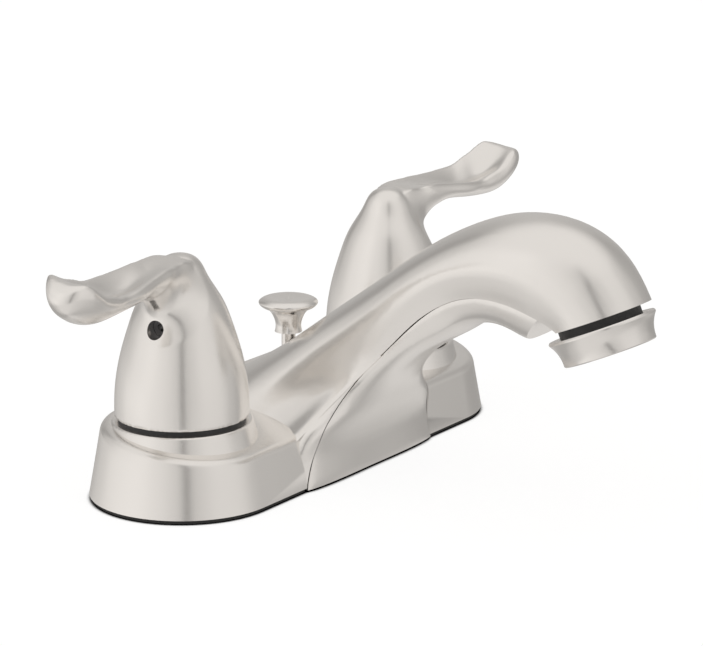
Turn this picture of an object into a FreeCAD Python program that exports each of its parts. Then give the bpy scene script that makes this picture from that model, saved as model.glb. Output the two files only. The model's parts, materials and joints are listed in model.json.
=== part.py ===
import FreeCAD, Part
import math
import os

# Two-handle centerset basin faucet, in millimetres.
# Origin: on the deck, midway between the two handle axes.
# X points to the cold side, Y to the wall behind the basin, Z up. The spout reaches towards -Y.

V = FreeCAD.Vector

# Base shell
HANDLE_SPACING = 101.6
BASE_END = 27.7
BASE_DEPTH = 53.3
BASE_FORWARD = 1.65
BASE_DRAFT = 10.2
BASE_TOP_HEIGHT = 19.1
BASE_TOP_SLOPE = 8.0
BASE_EDGE_ROUND = 2.6
SHELL_WALL = 2.8

# Gasket under the shell
GASKET_THICKNESS = 1.0
GASKET_INSET = 0.8

# Raised rings that the handles stand over
RING_TOP_HEIGHT = 21.4
RING_TOP_RADIUS = 19.5
RING_DRAFT = 16.0
RING_EDGE_ROUND = 0.9
RING_LIP = 3.0

# Spout
SPOUT_REACH = 101.4
SPOUT_TOP = 79.7
SPOUT_HALF = 16.7
SPOUT_EDGE_HALF = 14.8
SPOUT_WALL = 2.6
OUTLET_DROP = 25.8
OUTLET_TILT = 23.2
OUTLET_RADIUS = 14.9
OUTLET_LIP_BACK = 5.0

# Cover under the spout
PANEL_HALF = 31.3
PANEL_FRONT = 1.3
PANEL_REACH = 7.0
PANEL_STEP = 0.7
PANEL_WALL = 2.2
PANEL_FOOT = 0.4
SEAM_GAP = 0.25
COVER_GAP = 0.15
EDGE_THICKNESS = 0.3
EDGE_KEEL = 0.6

# Valves: what stands on each handle axis
SOCKET_RADIUS = 9.4
SOCKET_DEPTH = 8.5
CUP_RADIUS = 14.2
NECK_RADIUS = 12.0
NECK_TOP = 26.0
CHAMBER_FLOOR = 10.0
CARTRIDGE_RADIUS = 9.0
CARTRIDGE_WALL = 1.4
FLANGE_RADIUS = 10.8
FLANGE_THICKNESS = 1.5
CARTRIDGE_HUB_RADIUS = 6.4
CARTRIDGE_TOP = 33.0
SEAT_THICKNESS = 1.2
DISC_THICKNESS = 2.0
WATERWAY_PORT = 3.0
STEM_RADIUS = 4.0
STEM_FOOT_RADIUS = 6.0
STEM_FOOT_HEIGHT = 2.4
STEM_TOP = 54.0
STEM_FLAT = 3.3
STEM_FLAT_START = 36.0
ORING_WIDTH = 1.6
NUT_ACROSS = 26.5
NUT_RIM = 14.4
NUT_COVER = 2.0
FIT_GAP = 0.05

# Handles
HANDLE_GAP = 1.4
HANDLE_FOOT_RADIUS = 18.55
HANDLE_TOP = 67.8
HANDLE_WALL = 2.6
HANDLE_BOSS_RADIUS = 7.6
LEVER_REACH = 60.2
LEVER_HALF = 6.5
LEVER_TURN = 6.3
LEVER_RIM = 1.8
SCREW_HEIGHT = 49.4
SET_SCREW_RADIUS = 2.5
SET_SCREW_LENGTH = 6.6
GLIDE_RING_RADIUS = 17.6
GLIDE_RING_BORE = 15.0
SEAT_MARGIN = 0.4

# Lift rod for the waste
ROD_RADIUS = 2.0
ROD_Y = 0.3
ROD_FOOT = 0.5
ROD_GUIDE_RADIUS = 3.2
ROD_GUIDE_TOP = 26.8
ROD_BOSS_RADIUS = 5.0
ROD_BOSS_FOOT = 17.5
KNOB_RADIUS = 8.5
KNOB_NECK_RADIUS = 3.85
KNOB_FOOT = 34.9
KNOB_TOP = 44.9

# Outlet and aerator
COLLAR_TOP_RADIUS = 15.0
COLLAR_LOW_RADIUS = 12.95
COLLAR_HEIGHT = 7.6
COLLAR_DROP = 2.37
COLLAR_LIP = 1.4
NIPPLE_RADIUS = 11.6
NIPPLE_WALL = 2.4
NIPPLE_RISE = 10.0
NIPPLE_END = 6.5
WASHER_THICKNESS = 0.7

# Brass waterway between the valves, and the tube in the spout
CROSS_Y = -13.5
CROSS_Z = 9.5
CROSS_RADIUS = 4.5
CROSS_WALL = 1.9
RISER_RADIUS = 8.0
RISER_TOP = 17.0
TUBE_RADIUS = 5.5
TUBE_WALL = 1.0
TUBE_BEND = 10.0

HANDLE_X = HANDLE_SPACING / 2
BASE_LENGTH = HANDLE_SPACING + 2 * BASE_END
END_RADIUS = BASE_DEPTH / 2
END_X = (BASE_LENGTH - BASE_DEPTH) / 2
OUTLET_HEIGHT = SPOUT_TOP - OUTLET_DROP
PANEL_SPREAD = PANEL_HALF - SPOUT_EDGE_HALF
HANDLE_RISE = HANDLE_TOP - RING_TOP_HEIGHT - HANDLE_GAP
DRAFT_PER_MM = math.tan(math.radians(BASE_DRAFT))
SLOPE_PER_MM = math.tan(math.radians(BASE_TOP_SLOPE))
WALL_FRONT = -BASE_FORWARD - END_RADIUS
HANDLE_FOOT = RING_TOP_HEIGHT + HANDLE_GAP


def spline(points):
    """A smooth curve through the points."""
    curve = Part.BSplineCurve()
    curve.interpolate(points)
    return curve.toShape()


def line(start, end):
    return Part.LineSegment(start, end).toShape()


def cylinder(radius, bottom, top, x=0.0, y=0.0):
    return Part.makeCylinder(radius, top - bottom, V(x, y, bottom))


def ring_solid(outer, inner, bottom, top, x=0.0, y=0.0):
    return cylinder(outer, bottom, top, x, y).cut(cylinder(inner, bottom, top, x, y))


def cone(low_radius, high_radius, bottom, top, x=0.0, y=0.0):
    return Part.makeCone(low_radius, high_radius, top - bottom, V(x, y, bottom))


def turned(edges):
    """A solid of revolution about Z from edges that close a profile in the XZ plane."""
    face = Part.Face(Part.Wire(edges))
    return face.revolve(V(0, 0, 0), V(0, 0, 1), 360)


def turned_outline(points):
    """A solid of revolution about Z from straight (radius, height) corners."""
    corners = [V(r, 0, z) for r, z in points]
    return turned([line(a, b) for a, b in zip(corners, corners[1:] + corners[:1])])


def base_top(y):
    """Height of the sloping top of the base at a place y."""
    return BASE_TOP_HEIGHT + SLOPE_PER_MM * y


def stadium_block(inset, bottom, top):
    """The drafted base block: two cones and a wedge between them, with one lean all round."""
    low = END_RADIUS - inset - bottom * DRAFT_PER_MM
    high = END_RADIUS - inset - top * DRAFT_PER_MM
    outline = [V(-END_X, -low, bottom), V(-END_X, low, bottom), V(-END_X, high, top), V(-END_X, -high, top)]
    middle = Part.Face(Part.makePolygon(outline + outline[:1])).extrude(V(2 * END_X, 0, 0))
    ends = [cone(low, high, bottom, top, side * END_X) for side in (-1, 1)]
    block = middle.fuse(ends).removeSplitter()
    block.translate(V(0, -BASE_FORWARD, 0))
    return block


def above_top(offset):
    """Everything above the sloping top plane of the base."""
    size = 4 * BASE_LENGTH
    box = Part.makeBox(size, size, size, V(-size / 2, -size / 2, 0))
    box.rotate(V(0, 0, 0), V(1, 0, 0), BASE_TOP_SLOPE)
    box.translate(V(0, 0, BASE_TOP_HEIGHT + offset))
    return box


def base_block():
    """The base down to its sloping top, with the top edge rounded."""
    block = stadium_block(0, GASKET_THICKNESS, 2 * BASE_TOP_HEIGHT).cut(above_top(0))
    rim = []
    for edge in block.Edges:
        mid = edge.valueAt((edge.FirstParameter + edge.LastParameter) / 2)
        if abs(mid.z - base_top(mid.y)) < 0.01 and edge.BoundBox.ZMin > 2 * GASKET_THICKNESS:
            rim.append(edge)
    return block.makeFillet(BASE_EDGE_ROUND, rim)


def raised_ring(side):
    foot = RING_TOP_HEIGHT / 2
    spread = (RING_TOP_HEIGHT - foot) * math.tan(math.radians(RING_DRAFT))
    ring = cone(RING_TOP_RADIUS + spread, RING_TOP_RADIUS, foot, RING_TOP_HEIGHT, side * HANDLE_X)
    rim = [e for e in ring.Edges if e.BoundBox.ZMin > RING_TOP_HEIGHT - 0.01]
    return ring.makeFillet(RING_EDGE_ROUND, rim)


TILT = math.radians(OUTLET_TILT)
OUT = V(0, -math.sin(TILT), -math.cos(TILT))
LEVEL = V(0, -math.cos(TILT), math.sin(TILT))
OUTLET = V(0, -SPOUT_REACH, OUTLET_HEIGHT)


def outlet_point(forward, down):
    """A point seen from the centre of the spout's end: along its plane, and out of it."""
    return OUTLET + LEVEL * forward + OUT * down


def at_outlet(shape):
    """Moves a piece made about Z, with Z pointing out of the spout, to the spout's end."""
    shape.rotate(V(0, 0, 0), V(1, 0, 0), 180 - OUTLET_TILT)
    shape.translate(OUTLET)
    return shape


def place(share, rise_share):
    """A point in the middle plane.

    The share is of the way from the front wall to the outlet's centre, or, where it is negative,
    of the base's depth behind that wall. The rise is a share of the spout's rise above the base.
    """
    run = BASE_DEPTH if share < 0 else SPOUT_REACH + WALL_FRONT
    return V(0, WALL_FRONT - share * run, BASE_TOP_HEIGHT + rise_share * (SPOUT_TOP - BASE_TOP_HEIGHT))


# Stations along the spout, root first: ridge point, edge point, half width at the edge,
# widest half width, height share of the widest place, and the depth of the cover below the edge
# as a share of the spout's half width.
STATIONS = [
    (place(-0.911, -0.015), place(-0.071, -0.085), SPOUT_EDGE_HALF + 1.164 * PANEL_SPREAD,
     SPOUT_HALF + 0.685 * PANEL_SPREAD, 0.50, 0.36),
    (place(-0.755, 0.090), place(-0.046, -0.048), SPOUT_EDGE_HALF + 0.952 * PANEL_SPREAD,
     SPOUT_HALF + 0.382 * PANEL_SPREAD, 0.50, 0.36),
    (place(-0.609, 0.165), place(-0.006, 0.025), SPOUT_EDGE_HALF + 0.618 * PANEL_SPREAD,
     SPOUT_HALF + 0.170 * PANEL_SPREAD, 0.50, 0.36),
    (place(-0.383, 0.300), place(0.041, 0.114), SPOUT_EDGE_HALF + 0.303 * PANEL_SPREAD,
     SPOUT_HALF + 0.042 * PANEL_SPREAD, 0.50, 0.33),
    (place(-0.118, 0.470), place(0.112, 0.221), SPOUT_EDGE_HALF + 0.097 * PANEL_SPREAD,
     SPOUT_HALF, 0.45, 0.30),
    (place(0.119, 0.650), place(0.233, 0.373), SPOUT_EDGE_HALF + 0.018 * PANEL_SPREAD,
     SPOUT_HALF, 0.42, 0.36),
    (place(0.318, 0.818), place(0.385, 0.541), SPOUT_EDGE_HALF,
     SPOUT_HALF, 0.42, 0.55),
    (place(0.520, 0.942), place(0.516, 0.624), SPOUT_EDGE_HALF,
     SPOUT_HALF, 0.42, 0.57),
    (place(0.707, 0.997), place(0.666, 0.645), SPOUT_EDGE_HALF,
     SPOUT_HALF, 0.42, 0.57),
    (place(0.885, 0.982), place(0.775, 0.624), SPOUT_EDGE_HALF,
     SPOUT_HALF - 0.4, 0.40, 0.63),
    (place(1.055, 0.883), place(0.857, 0.591), SPOUT_EDGE_HALF - 0.3,
     SPOUT_HALF - 1.1, 0.34, 0.66),
    (outlet_point(OUTLET_RADIUS, 0), outlet_point(-OUTLET_LIP_BACK, 0), SPOUT_EDGE_HALF - 0.6,
     OUTLET_RADIUS, OUTLET_LIP_BACK / (OUTLET_LIP_BACK + OUTLET_RADIUS), 0.66),
]
CHEEK_STATIONS = 7
COVER_STATIONS = len(STATIONS)


def mirrored_wire(origin, up, right_half):
    """A closed outline from the (x, s) points of its right half, mirrored, with a straight chord."""
    right = [origin + V(x, 0, 0) + up * s for x, s in right_half]
    left = [origin + V(-x, 0, 0) + up * s for x, s in reversed(right_half) if x > 0.001]
    return Part.Wire([spline(right + left), line(left[-1], right[0])])


def upper_section(station, inset, drop):
    """The shell's outline at a station: flaring or tucked flanks under a rounded crown.

    Below the edge it goes on by the drop, narrowing a little.
    """
    ridge, edge, edge_half, wide_half, wide_share = station[:5]
    up = ridge - edge
    height = up.Length - inset
    up.normalize()
    wide_at = height * wide_share
    edge_half = edge_half - inset
    wide_half = wide_half - inset
    half = [(edge_half - 0.15 * drop, -drop)]
    for step in range(4):
        fall = (1 - step / 4) ** 2
        half.append((wide_half + (edge_half - wide_half) * fall, wide_at * step / 4))
    for step in range(6):
        turn = math.radians(90 * step / 5)
        half.append((wide_half * math.cos(turn), wide_at + (height - wide_at) * math.sin(turn)))
    return mirrored_wire(edge, up, half)


def under_section(edge, up, half_width, depth, squareness, top):
    """The cover's outline at a station: a round-bottomed trough hung from the edge.

    It begins at the top, at or below the edge, or leans in above it.
    """
    half = [(half_width - max(0.4 * top, 0), top)]
    for step in range(0 if top > 0 else 1, 6):
        turn = math.radians(90 * step / 5)
        x = half_width * math.cos(turn) ** (2 / squareness)
        half.append((x, -depth * math.sin(turn) ** (2 / squareness)))
    return mirrored_wire(edge, up, half)


def spout_form():
    """The upper form of the spout, from its root in the base to its end."""
    return Part.makeLoft([upper_section(s, 0, EDGE_KEEL) for s in STATIONS], True, False)


def spout_cavity():
    """The hollow of the spout: it starts down in the base and ends short of the outlet."""
    ridge, edge = STATIONS[0][:2]
    sunk = V(0, 0, -BASE_TOP_HEIGHT / 2)
    behind_wall = V(0, 2.5 * SHELL_WALL, 0)
    root = (ridge + sunk, edge + sunk + behind_wall) + STATIONS[2][2:]
    stations = [root] + STATIONS[2:-1]
    return Part.makeLoft([upper_section(s, SPOUT_WALL, 3.0) for s in stations], True, False)


def cover_stations():
    """Where the cover hangs: two level stations at the deck, then those of the spout."""
    depth = PANEL_REACH + PANEL_FRONT
    back = V(0, 1, 0)
    stations = [(V(0, WALL_FRONT + PANEL_REACH, PANEL_FOOT), back, PANEL_HALF + 3.5, depth, 5.0),
                (V(0, WALL_FRONT + PANEL_REACH, 8.0), back, PANEL_HALF + 1.5, depth + 0.4, 4.2)]
    for number, station in enumerate(STATIONS[1:], 1):
        ridge, edge, edge_half, wide_half, wide_share, depth_share = station
        depth = depth_share * SPOUT_HALF
        up = ridge - edge
        up.normalize()
        step = PANEL_STEP / 2 if number < 4 else PANEL_STEP
        stations.append((edge, up, edge_half - step, depth, 3.2 if number < 3 else 2.6))
    return stations


def front_sweep(last, grow=0.0, top=1.0):
    """The form that sweeps up from the front of the base and along the underside of the spout."""
    sections = []
    for edge, up, half, depth, squareness in cover_stations()[:last]:
        sections.append(under_section(edge, up, half + grow, depth + grow, squareness, top))
    return Part.makeLoft(sections, True, False)


def seam_tool(gap):
    """The bell-shaped outline of the cover, seen from the front, cut through from front to back."""
    low = [(1.0, 0.0), (0.957, 0.24), (0.915, 0.47), (0.868, 0.70)]
    right = [V(PANEL_HALF * share + gap, 0, BASE_TOP_HEIGHT * height) for share, height in low]
    for station, share in zip(STATIONS[1:], (0.862, 0.916, 0.94, 0.951)):
        right.append(V(station[2] * share + gap, 0, station[1].z))
    right.append(V(SPOUT_EDGE_HALF + gap, 0, (STATIONS[4][1].z + STATIONS[5][1].z) / 2))
    left = [V(-p.x, 0, p.z) for p in reversed(right)]
    below = V(PANEL_HALF + gap, 0, -5)
    above = [V(PANEL_HALF, 0, 0.75 * SPOUT_TOP), V(PANEL_HALF, 0, 1.2 * SPOUT_TOP)]
    over = [right[-1]] + above + [V(-p.x, 0, p.z) for p in reversed(above)] + [left[0]]
    under = [left[-1], V(-below.x, 0, below.z), below, right[0]]
    edges = [spline(right)]
    edges += [line(a, b) for a, b in zip(over, over[1:])]
    edges += [spline(left)]
    edges += [line(a, b) for a, b in zip(under, under[1:])]
    return Part.Face(Part.Wire(edges)).extrude(V(0, -2 * SPOUT_REACH, 0))


def body_shell():
    """The cast shell: base, raised rings, spout and the cheeks beside the cover, hollow from below."""
    rings = [raised_ring(side) for side in (-1, 1)]
    below = Part.makeBox(BASE_LENGTH, BASE_LENGTH, BASE_TOP_HEIGHT,
                         V(-BASE_LENGTH / 2, -BASE_LENGTH / 2, GASKET_THICKNESS - BASE_TOP_HEIGHT))
    cheeks = front_sweep(CHEEK_STATIONS).cut(below)
    shell = base_block().fuse(rings + [spout_form(), cheeks])
    slot = front_sweep(None, grow=2.0, top=-EDGE_THICKNESS).common(seam_tool(SEAM_GAP))
    shell = shell.cut(slot)
    hollow = stadium_block(SHELL_WALL, -1.0, 2 * BASE_TOP_HEIGHT).cut(above_top(-SHELL_WALL))
    hollow = hollow.fuse(spout_cavity())
    hollow = hollow.cut(cylinder(ROD_BOSS_RADIUS, ROD_BOSS_FOOT, KNOB_TOP, y=ROD_Y))
    shell = shell.cut(hollow)
    holes = [cylinder(ROD_GUIDE_RADIUS, 0, ROD_GUIDE_TOP, y=ROD_Y),
             cylinder(ROD_RADIUS + 0.35, 0, KNOB_TOP, y=ROD_Y)]
    for side in (-1, 1):
        holes.append(cylinder(NECK_RADIUS + 0.2, 0, RING_TOP_HEIGHT + 1, side * HANDLE_X))
        holes.append(cylinder(CUP_RADIUS + 0.4, 0, RING_TOP_HEIGHT - RING_LIP, side * HANDLE_X))
        # The seat under the handle is faced level, because the sloping base rises past it at the back.
        seat = GLIDE_RING_RADIUS + SEAT_MARGIN
        holes.append(cylinder(seat, RING_TOP_HEIGHT, RING_TOP_HEIGHT + 1, side * HANDLE_X))
    holes.append(at_outlet(cylinder(NIPPLE_RADIUS, -1.4 * NIPPLE_RISE, NIPPLE_END)))
    return shell.cut(holes)


def spout_cover():
    """The trough that closes the spout from below and runs down to the deck as its front panel."""
    cover = front_sweep(COVER_STATIONS, top=-EDGE_THICKNESS - COVER_GAP).common(seam_tool(0))
    cover = cover.cut(front_sweep(COVER_STATIONS - 1, grow=-PANEL_WALL))
    cover = cover.cut(at_outlet(cylinder(NIPPLE_RADIUS + 0.3, -1.4 * NIPPLE_RISE, 2 * NIPPLE_RISE)))
    return max(cover.Solids, key=lambda solid: solid.Volume)


def base_gasket():
    gasket = stadium_block(GASKET_INSET, 0, GASKET_THICKNESS)
    notch = PANEL_HALF + SEAM_GAP
    gasket = gasket.cut(Part.makeBox(2 * notch, 2 * PANEL_REACH + 1, 4, V(-notch, WALL_FRONT - PANEL_REACH, -1)))
    holes = [cylinder(CUP_RADIUS + 0.1, -1, 2, side * HANDLE_X) for side in (-1, 1)]
    holes.append(cylinder(ROD_BOSS_RADIUS + 1, -1, 2, y=ROD_Y))
    return gasket.cut(holes)


def window_floor():
    """Height where the water leaves the cartridge, just over the turning disc."""
    return CHAMBER_FLOOR + SEAT_THICKNESS + 2 * DISC_THICKNESS + 0.3


def tube_foot():
    return CROSS_Z + 1.5


def waterway_body():
    """Brass: two valve cups, a tube across between them and a boss for the spout's tube."""
    x = HANDLE_X
    solids = []
    bores = []
    shoulder = RING_TOP_HEIGHT - RING_LIP
    for side in (-1, 1):
        solids.append(cylinder(CUP_RADIUS, 0, shoulder, side * x))
        solids.append(cylinder(NECK_RADIUS, shoulder, NECK_TOP, side * x))
        bores.append(cylinder(SOCKET_RADIUS, 0, SOCKET_DEPTH, side * x))
        bores.append(cylinder(WATERWAY_PORT, 0, CHAMBER_FLOOR, side * x))
        bores.append(cylinder(CARTRIDGE_RADIUS + FIT_GAP, CHAMBER_FLOOR, NECK_TOP, side * x))
        port_start = V(side * x, -CARTRIDGE_RADIUS, window_floor())
        port_run = V(side * x, CROSS_Y, CROSS_Z) - port_start
        port_start = port_start - port_run * 0.3
        bores.append(Part.makeCylinder(WATERWAY_PORT * 0.6, 1.3 * port_run.Length, port_start, port_run))
    across = Part.makeCylinder(CROSS_RADIUS, 2 * x, V(-x, CROSS_Y, CROSS_Z), V(1, 0, 0))
    riser = cylinder(RISER_RADIUS, CROSS_Z - CROSS_RADIUS, RISER_TOP, y=CROSS_Y)
    body = solids[0].fuse(solids[1:] + [across, riser])
    inside = CROSS_RADIUS - CROSS_WALL
    bores.append(Part.makeCylinder(inside, 2 * (x + inside), V(-x - inside, CROSS_Y, CROSS_Z), V(1, 0, 0)))
    bores.append(cylinder(TUBE_RADIUS - TUBE_WALL, CROSS_Z, RISER_TOP, y=CROSS_Y))
    bores.append(cylinder(TUBE_RADIUS + FIT_GAP, tube_foot(), RISER_TOP, y=CROSS_Y))
    return body.cut(bores)


def cartridge(x):
    """Ceramic-disc cartridge housing: windows for the water, a flange that the nut holds."""
    floor = CHAMBER_FLOOR + SEAT_THICKNESS
    body = cylinder(CARTRIDGE_RADIUS, floor, NECK_TOP, x)
    body = body.fuse([cylinder(FLANGE_RADIUS, NECK_TOP, NECK_TOP + FLANGE_THICKNESS, x),
                      cylinder(CARTRIDGE_HUB_RADIUS, NECK_TOP, CARTRIDGE_TOP, x)])
    chamber_top = floor + 2 * DISC_THICKNESS + STEM_FOOT_HEIGHT + FIT_GAP
    inside = cylinder(CARTRIDGE_RADIUS - CARTRIDGE_WALL, floor, chamber_top, x)
    bore = cylinder(STEM_RADIUS + FIT_GAP, floor, CARTRIDGE_TOP, x)
    groove = cylinder(STEM_RADIUS + ORING_WIDTH, NECK_TOP - 3, NECK_TOP - 3 + ORING_WIDTH, x)
    across = 3 * CARTRIDGE_RADIUS
    window = Part.makeBox(5, across, STEM_FOOT_HEIGHT - 0.3, V(x - 2.5, -across / 2, window_floor()))
    return body.cut([inside, bore, groove, window])


def disc(x, bottom, slotted):
    """A ceramic disc with two water ports; the turning one has a slot for the stem's tongue."""
    radius = CARTRIDGE_RADIUS - CARTRIDGE_WALL - FIT_GAP
    plate = cylinder(radius, bottom, bottom + DISC_THICKNESS, x)
    ports = [cylinder(WATERWAY_PORT / 2, bottom - 1, bottom + DISC_THICKNESS + 1, x, side * radius / 2)
             for side in (-1, 1)]
    plate = plate.cut(ports)
    if slotted:
        tongue = Part.makeBox(7.1, 2.1, 0.9, V(x - 3.55, -1.05, bottom + DISC_THICKNESS - 0.8))
        plate = plate.cut(tongue)
    return plate


def stem():
    """The turning stem: a foot with a tongue, a round shank and two flats for the handle."""
    foot = CHAMBER_FLOOR + SEAT_THICKNESS + 2 * DISC_THICKNESS
    spindle = cylinder(STEM_FOOT_RADIUS, foot, foot + STEM_FOOT_HEIGHT)
    shank = cylinder(STEM_RADIUS, foot, STEM_TOP)
    chamfered = shank.makeChamfer(0.5, [e for e in shank.Edges if e.BoundBox.ZMin > STEM_TOP - 0.01])
    tongue = Part.makeBox(7.0, 2.0, 0.7, V(-3.5, -1.0, foot - 0.7))
    spindle = spindle.fuse([chamfered, tongue])
    for side in (-1, 1):
        start = STEM_FLAT if side > 0 else -STEM_FLAT - 5
        flat = Part.makeBox(5, 20, STEM_TOP, V(start, -10, STEM_FLAT_START))
        spindle = spindle.cut(flat)
    return spindle


def stem_seal(x):
    middle = STEM_RADIUS + ORING_WIDTH / 2
    return Part.makeTorus(middle, ORING_WIDTH / 2, V(x, 0, NECK_TOP - 3 + ORING_WIDTH / 2))


def seat_seal(x):
    return ring_solid(CARTRIDGE_RADIUS - 1, WATERWAY_PORT + 1, CHAMBER_FLOOR, CHAMBER_FLOOR + SEAT_THICKNESS, x)


def bonnet_nut(x):
    """Hexagon nut on the neck: it clamps the shell's ring and holds the cartridge down."""
    low = RING_TOP_HEIGHT
    lid = NECK_TOP + FLANGE_THICKNESS
    top = lid + NUT_COVER
    corner = NUT_ACROSS / 2 / math.cos(math.radians(30))
    corners = [V(x + corner * math.cos(math.radians(60 * k)), corner * math.sin(math.radians(60 * k)), low)
               for k in range(7)]
    nut = Part.Face(Part.makePolygon(corners)).extrude(V(0, 0, top - low))
    nut = nut.common(cone(NUT_RIM + 2.5, NUT_RIM - 0.5, low, top, x))
    nut = nut.common(cylinder(NUT_RIM, low, top, x))
    return nut.cut([cylinder(NECK_RADIUS + FIT_GAP, low, lid, x),
                    cylinder(CARTRIDGE_HUB_RADIUS + 0.1, low, top, x)])


def glide_ring(x):
    return ring_solid(GLIDE_RING_RADIUS, GLIDE_RING_BORE, RING_TOP_HEIGHT, HANDLE_FOOT - FIT_GAP, x)


# The hub of a handle: (radius share of the foot, height share of its rise)
HUB_SHAPE = [(0.985, 0.17), (0.885, 0.40), (0.776, 0.55), (0.62, 0.715), (0.40, 0.868)]


def hub_outline(inset):
    points = [V(HANDLE_FOOT_RADIUS - inset, 0, HANDLE_FOOT)]
    points += [V(HANDLE_FOOT_RADIUS * r - inset, 0, HANDLE_FOOT + HANDLE_RISE * h) for r, h in HUB_SHAPE]
    return points


def hub():
    points = hub_outline(0) + [V(0, 0, HANDLE_TOP)]
    curve = Part.BSplineCurve()
    curve.interpolate(Points=points, InitialTangent=V(0, 0, 1), FinalTangent=V(-1, 0, 0))
    foot = V(0, 0, HANDLE_FOOT)
    return turned([curve.toShape(), line(points[-1], foot), line(foot, points[0])])


def hub_hollow():
    points = hub_outline(HANDLE_WALL)[:4]
    roof = V(0, 0, points[-1].z)
    foot = V(0, 0, HANDLE_FOOT - 1)
    start = V(points[0].x, 0, foot.z)
    edges = [line(start, points[0]), spline(points), line(points[-1], roof), line(roof, foot), line(foot, start)]
    return turned(edges)


# The lever, station by station: share of its reach, half width share, then the heights of its
# back edge, middle, front edge and keel over the handle's foot, as shares of the handle's rise.
LEVER_SHAPE = [
    (-0.12, 0.40, 0.780, 0.800, 0.770, 0.640),
    (-0.05, 0.66, 0.915, 0.930, 0.905, 0.680),
    (0.03, 0.85, 0.985, 0.992, 0.965, 0.700),
    (0.15, 0.90, 1.004, 0.988, 0.980, 0.690),
    (0.28, 0.98, 1.000, 0.965, 0.978, 0.775),
    (0.42, 1.08, 0.991, 0.933, 0.955, 0.832),
    (0.56, 1.13, 0.993, 0.913, 0.935, 0.815),
    (0.70, 1.12, 1.026, 0.929, 0.953, 0.800),
    (0.80, 1.15, 1.066, 0.985, 0.998, 0.806),
]

# The tip closes as a quarter of a blunt ellipse from this share of the reach on, round a middle
# height, and these are its section before it closes and the shares of the way that it takes.
TIP_START = 0.80
TIP_SECTION = (1.15, 1.145, 1.128, 1.115, 0.842)
TIP_MIDDLE = 0.985
TIP_BLUNTNESS = 2.25
TIP_STEPS = (0.28, 0.52, 0.72, 0.87, 0.96, 1.0)
TIP_END_SIZE = 0.12


def lever_stations():
    """The named stations, then the tip's own, which shrink round its middle height."""
    stations = list(LEVER_SHAPE)
    before = LEVER_SHAPE[-1][1:]
    for step in TIP_STEPS:
        size = max(TIP_END_SIZE, (1 - step ** TIP_BLUNTNESS) ** (1 / TIP_BLUNTNESS))
        lean = min(1.0, 1.6 * step)
        full = [low + lean * (high - low) for low, high in zip(before, TIP_SECTION)]
        heights = [TIP_MIDDLE + size * (height - TIP_MIDDLE) for height in full[1:]]
        stations.append((TIP_START + (1 - TIP_START) * step, size * full[0], *heights))
    return stations


def lever():
    """A waved blade: flat over the hub, dipping, then curling up into a rounded spoon."""
    sections = []
    for share, width, back, middle, front, keel in lever_stations():
        half = LEVER_HALF * width
        x = LEVER_REACH * share
        back, middle, front, keel = [HANDLE_RISE * rise for rise in (back, middle, front, keel)]
        rim = min(LEVER_RIM, 0.30 * (min(back, front) - keel))
        low = keel + 0.25 * (min(back, front) - keel)
        shape = [(half * 0.86, back), (half * 0.45, (back + middle) / 2), (0, middle),
                 (-half * 0.45, (front + middle) / 2), (-half * 0.86, front), (-half, front - rim),
                 (-half * 0.70, low), (0, keel), (half * 0.70, low), (half, back - rim)]
        points = [V(x, y, HANDLE_FOOT + z) for y, z in shape]
        curve = Part.BSplineCurve()
        curve.interpolate(Points=points, PeriodicFlag=True)
        sections.append(Part.Wire([curve.toShape()]))
    return Part.makeLoft(sections, True, False)


def handle():
    """One handle in its own frame: axis on Z, lever along +X."""
    body = hub().fuse(lever())
    roof = hub_outline(0)[3].z
    hollow = hub_hollow()
    boss = cylinder(HANDLE_BOSS_RADIUS, CARTRIDGE_TOP + 1, roof)
    body = body.cut(hollow.cut(boss))
    socket = cylinder(STEM_RADIUS + FIT_GAP, HANDLE_FOOT, STEM_TOP + 0.5)
    keep = STEM_FLAT + FIT_GAP
    flats = Part.makeBox(2 * keep, 20, 60, V(-keep, -10, STEM_FLAT_START - 0.2))
    round_part = cylinder(STEM_RADIUS + FIT_GAP, HANDLE_FOOT, STEM_FLAT_START)
    socket = socket.common(flats).fuse(round_part)
    screw_way = Part.makeCylinder(SET_SCREW_RADIUS + FIT_GAP, 30, V(0, 0, SCREW_HEIGHT), V(1, 0, 0))
    return body.cut([socket, screw_way])


def set_screw():
    """Cup-ended socket screw that grips the stem's flat through the outer side of the hub."""
    start = STEM_FLAT + FIT_GAP
    screw = Part.makeCylinder(SET_SCREW_RADIUS, SET_SCREW_LENGTH, V(start, 0, SCREW_HEIGHT), V(1, 0, 0))
    end = start + SET_SCREW_LENGTH
    corners = [V(end - 2.2, 1.3 * math.cos(math.radians(60 * k)), SCREW_HEIGHT + 1.3 * math.sin(math.radians(60 * k)))
               for k in range(7)]
    key = Part.Face(Part.makePolygon(corners)).extrude(V(4, 0, 0))
    return screw.cut(key)


def on_side(shape, side):
    """Turns a piece of the handle, or its mirror image, to the lever's rest and puts it on its axis."""
    if side < 0:
        shape = shape.mirror(V(0, 0, 0), V(1, 0, 0))
    shape.rotate(V(0, 0, 0), V(0, 0, 1), -side * LEVER_TURN)
    shape.translate(V(side * HANDLE_X, 0, 0))
    return shape


def lift_rod():
    return cylinder(ROD_RADIUS, ROD_FOOT, KNOB_FOOT + 6, y=ROD_Y)


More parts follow.
